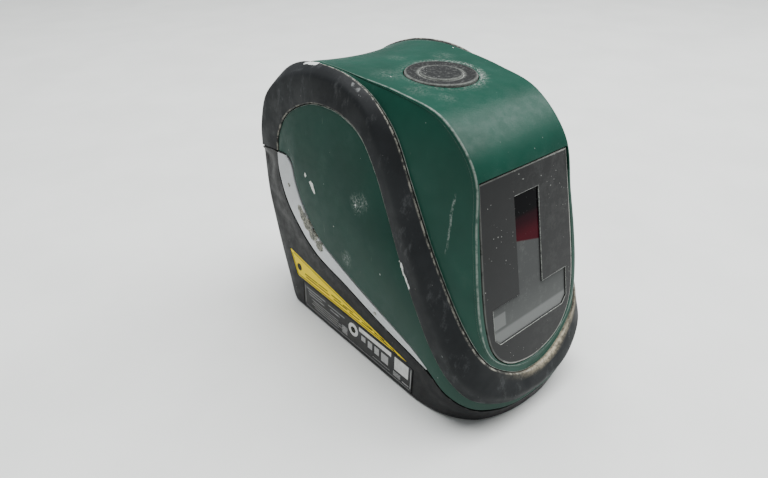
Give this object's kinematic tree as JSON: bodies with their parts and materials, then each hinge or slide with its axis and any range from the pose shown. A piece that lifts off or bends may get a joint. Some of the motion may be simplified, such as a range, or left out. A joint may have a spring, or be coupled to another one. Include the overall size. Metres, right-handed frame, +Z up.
{
  "type": "cross line laser level",
  "caption": "Handheld self-levelling cross-line laser level: green and black housing with rubber guard, sloped laser window, top key, hinged battery lid and a swinging pendulum.",
  "frame": {"origin": "on the bench plane under the feet, below the middle of the overall box", "axes": "+Z up, -Y towards the laser window, +X towards the side with the pendulum lock switch"},
  "size_m": [0.0668, 0.1264, 0.1087],
  "materials": {
    "green_plastic": "satin, moulded",
    "rubber": "matte, soft-touch",
    "black_plastic": "fine texture",
    "window_plastic": "satin",
    "smoked_glass": "smoked",
    "red_glass": "coated",
    "silver_trim": "silver paint",
    "yellow_label": "printed film",
    "grey_label": "printed film",
    "aluminium": "as cast",
    "steel": "plated",
    "brass": "turned",
    "copper": "bare copper",
    "magnet_nickel": "nickel plated",
    "circuit_green": "lacquered board",
    "cell_sleeve": "printed sleeve",
    "wire_red": "insulation",
    "grey_plastic": "moulded"
  },
  "bodies": {
    "housing": {"hood_cover": "green_plastic", "side_shell_left": "green_plastic", "side_shell_right": "green_plastic", "rubber_bumper": "rubber", "button_bezel": "rubber", "foot_pad_1": "rubber", "foot_pad_2": "rubber", "foot_pad_3": "rubber", "foot_pad_4": "rubber", "base_shell": "black_plastic", "battery_tray": "black_plastic", "tact_switch": "black_plastic", "window_panel": "window_plastic", "window_glass": "smoked_glass", "trim_strip_left": "silver_trim", "trim_strip_right": "silver_trim", "warning_label": "yellow_label", "rating_label": "grey_label", "chassis": "aluminium", "base_screw_1": "steel", "base_screw_2": "steel", "base_screw_3": "steel", "base_screw_4": "steel", "hinge_pin_left": "steel", "hinge_pin_right": "steel", "cell_spring_1": "steel", "cell_spring_2": "steel", "cell_spring_3": "steel", "cell_spring_4": "steel", "contact_plate_left": "steel", "contact_plate_right": "steel", "chassis_screw_1": "steel", "chassis_screw_2": "steel", "trunnion_bearing_left": "steel", "trunnion_bearing_right": "steel", "tripod_insert": "brass", "damping_magnet_left": "magnet_nickel", "damping_magnet_right": "magnet_nickel", "main_board": "circuit_green", "switch_board": "circuit_green", "battery_cell_1": "cell_sleeve", "battery_cell_2": "cell_sleeve", "battery_cell_3": "cell_sleeve", "battery_cell_4": "cell_sleeve", "switch_lead": "wire_red", "battery_lead_minus": "wire_red", "battery_lead_plus": "wire_red"},
    "lid": {"battery_lid": "black_plastic"},
    "key": {"mode_button": "rubber"},
    "lock_slider": {"lock_switch": "grey_plastic"},
    "lock_pin": {"lock_pad": "grey_plastic"},
    "gimbal": {"gimbal_ring": "aluminium", "pendulum_bearing_front": "steel", "pendulum_bearing_rear": "steel"},
    "pendulum": {"pendulum_body": "aluminium", "damper_plate": "copper", "laser_module_vertical": "brass", "laser_module_horizontal": "brass", "line_lens_vertical": "red_glass", "line_lens_horizontal": "red_glass"}
  },
  "joints": [
    {"name": "lid_hinge", "type": "hinge", "parent": "housing", "child": "lid", "pos_m": [0, 0.04615, 0.0077], "axis": [-1, 0, 0], "range_deg": [0, 65]},
    {"name": "key_press", "type": "slide", "parent": "housing", "child": "key", "axis": [0, 0.0436, -0.999], "range_m": [0, 0.001], "stiffness_N_per_m": 1200},
    {"name": "lock_slide", "type": "slide", "parent": "housing", "child": "lock_slider", "axis": [0, 1, 0], "range_m": [0, 0.008]},
    {"name": "lock_lift", "type": "slide", "parent": "housing", "child": "lock_pin", "axis": [0, 0, 1], "range_m": [0, 0.0018]},
    {"name": "gimbal_roll", "type": "hinge", "parent": "housing", "child": "gimbal", "pos_m": [0, -0.02345, 0.082], "axis": [1, 0, 0], "range_deg": [-4.5, 4.5]},
    {"name": "pendulum_swing", "type": "hinge", "parent": "gimbal", "child": "pendulum", "pos_m": [0, -0.02345, 0.082], "axis": [0, 1, 0], "range_deg": [-4.5, 4.5]}
  ],
  "couplings": [
    {"joint": "lock_lift", "follows": "lock_slide", "ratio": 0.225}
  ]
}
